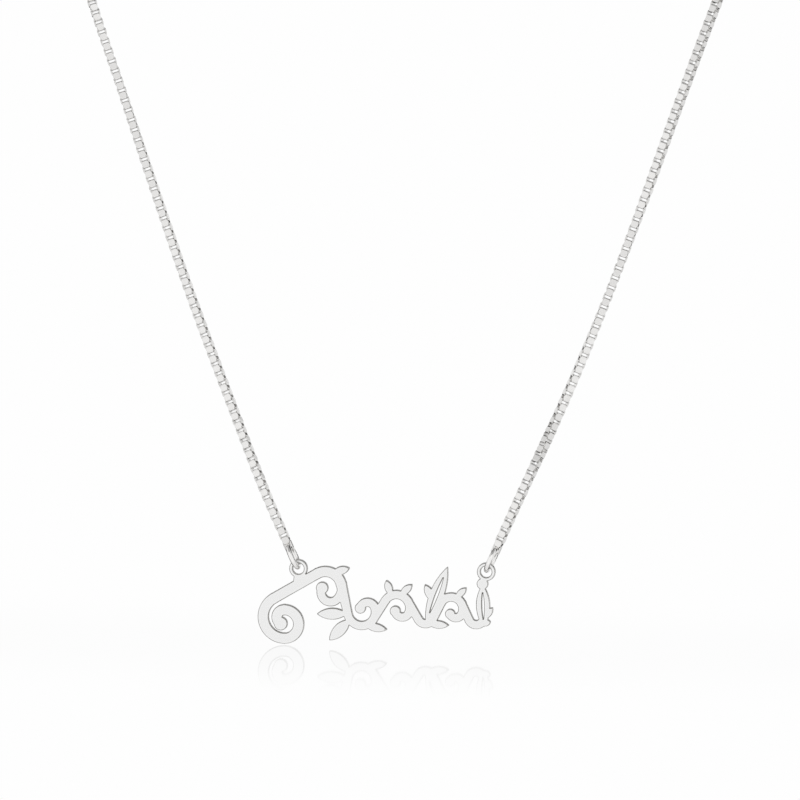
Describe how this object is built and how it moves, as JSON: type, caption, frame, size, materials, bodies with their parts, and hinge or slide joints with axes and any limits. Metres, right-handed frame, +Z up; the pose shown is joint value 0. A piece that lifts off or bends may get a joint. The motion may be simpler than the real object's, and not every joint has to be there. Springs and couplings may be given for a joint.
{
  "type": "nameplate necklace",
  "caption": "Fine box chain necklace with a flat openwork scroll plate hung between two jump rings, closed at the nape by a spring ring clasp.",
  "frame": {"origin": "middle of the clasp row, where the necklace lies on the nape", "axes": "+Z up, the plate hangs below at the front and its face looks along -Y, +X to the right as seen from the front"},
  "size_m": [0.102, 0.1021, 0.1377],
  "materials": {
    "plate_silver": "sterling silver, cut from sheet and softly polished",
    "chain_silver": "sterling silver strip, bright polished",
    "wire_silver": "sterling silver wire, bright polished"
  },
  "bodies": {
    "necklace": {"jump_ring_left": "wire_silver", "jump_ring_right": "wire_silver", "front_link_left": "chain_silver", "front_link_right": "chain_silver", "chain_left": "chain_silver", "chain_right": "chain_silver", "back_link_left": "chain_silver", "back_link_right": "chain_silver", "back_ring": "wire_silver", "catch_ring": "wire_silver", "clasp": "wire_silver"},
    "pendant": {"nameplate": "plate_silver"}
  },
  "joints": [
    {"name": "plate_swing", "type": "hinge", "parent": "necklace", "child": "pendant", "pos_m": [0, -0.098, -0.122], "axis": [1, 0, 0], "range_deg": [-30, 30]}
  ]
}
